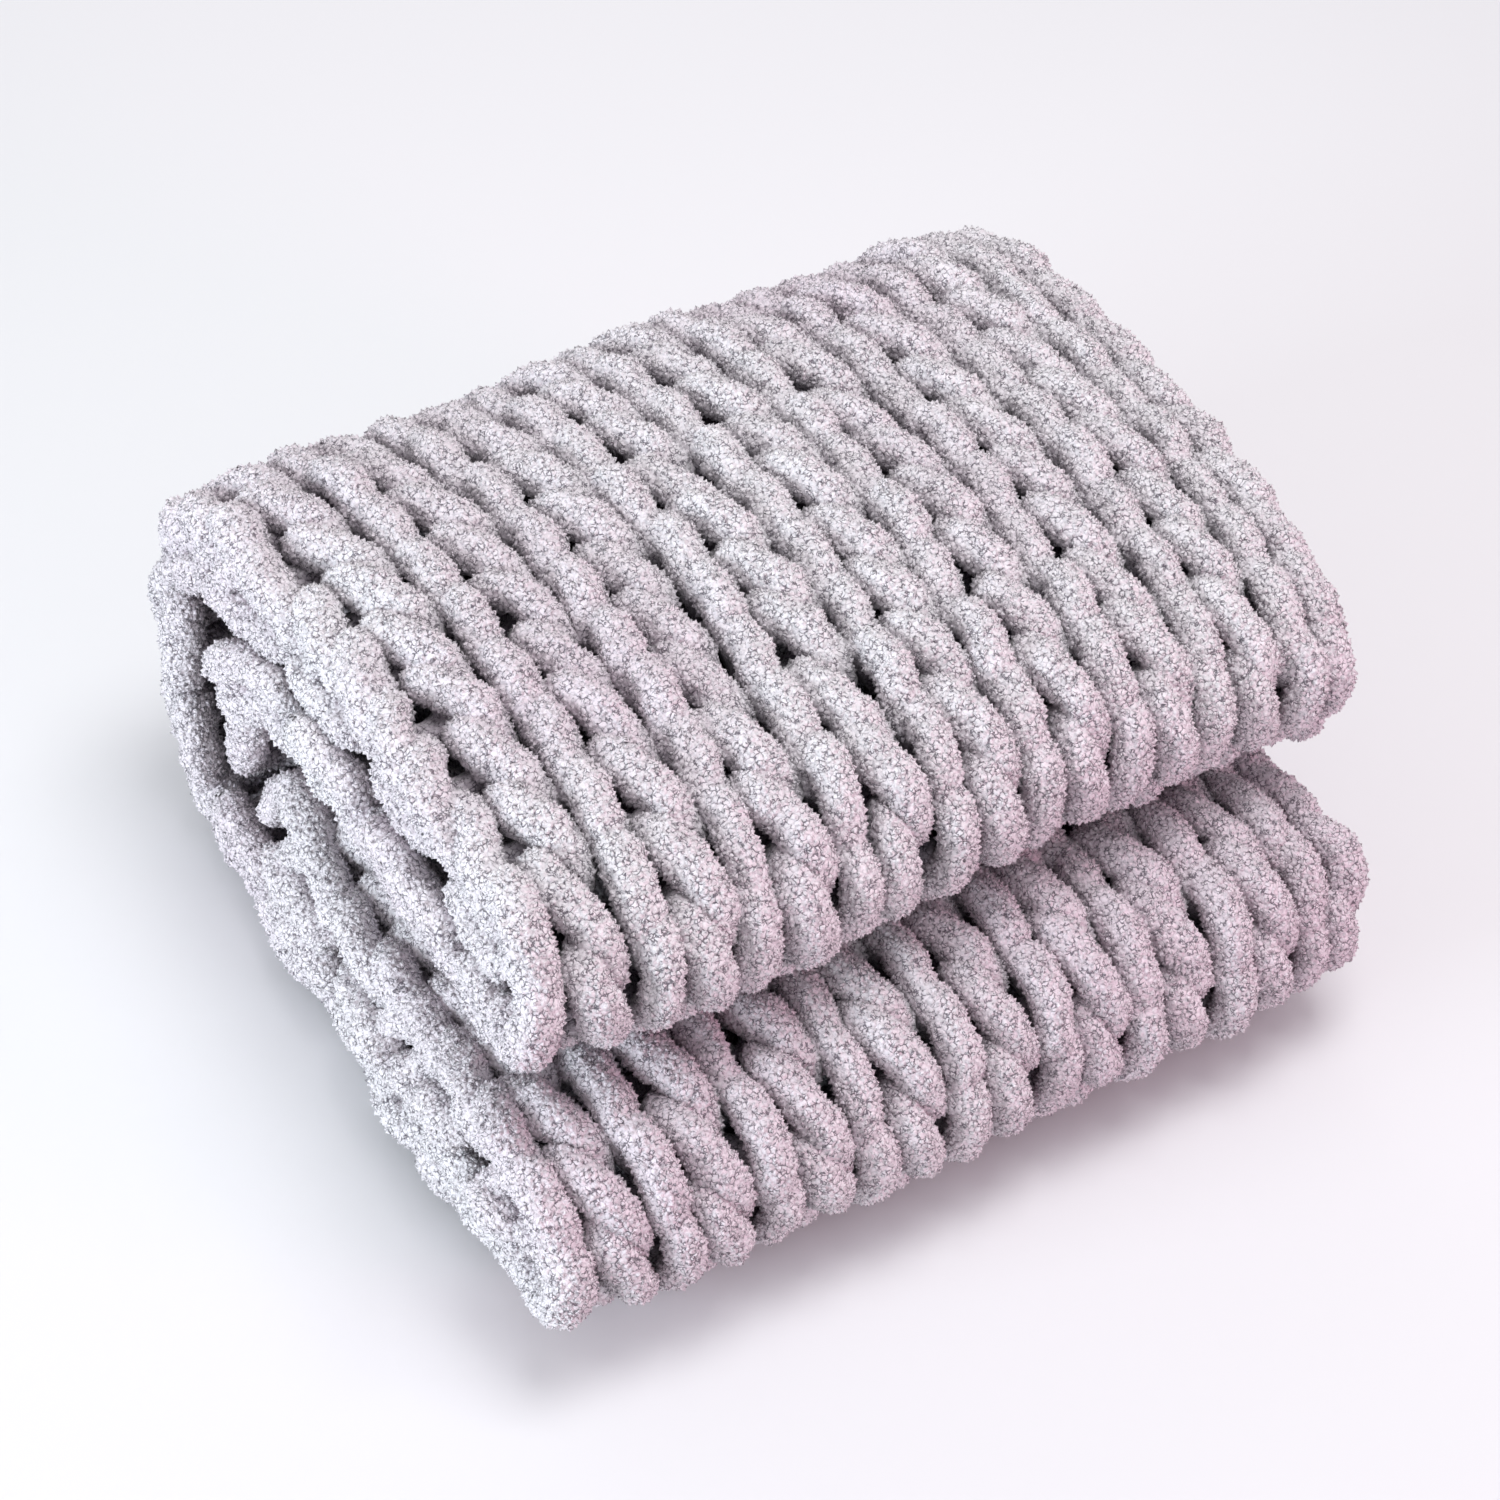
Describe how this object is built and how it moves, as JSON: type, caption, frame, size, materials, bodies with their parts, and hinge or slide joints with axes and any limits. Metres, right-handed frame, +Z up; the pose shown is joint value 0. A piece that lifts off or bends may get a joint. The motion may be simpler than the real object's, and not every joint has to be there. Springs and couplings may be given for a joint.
{
  "type": "folded chunky knit blanket",
  "caption": "Chunky knit blanket of thick chenille yarn, folded back and forth into a soft pile with rounded folds at the front and a loose fold at the back.",
  "frame": {"origin": "middle of the folded blanket's footprint, on the surface it rests on", "axes": "+Z up; -Y faces the two rounded front folds; X runs from selvedge to selvedge, with the left selvedge at -X"},
  "size_m": [0.5149, 0.4825, 0.2546],
  "materials": {
    "chenille_yarn": "fluffy matt chenille yarn, pale silver grey with a faint lilac cast"
  },
  "bodies": {
    "root": {"knit_blanket": "chenille_yarn"}
  },
  "joints": []
}
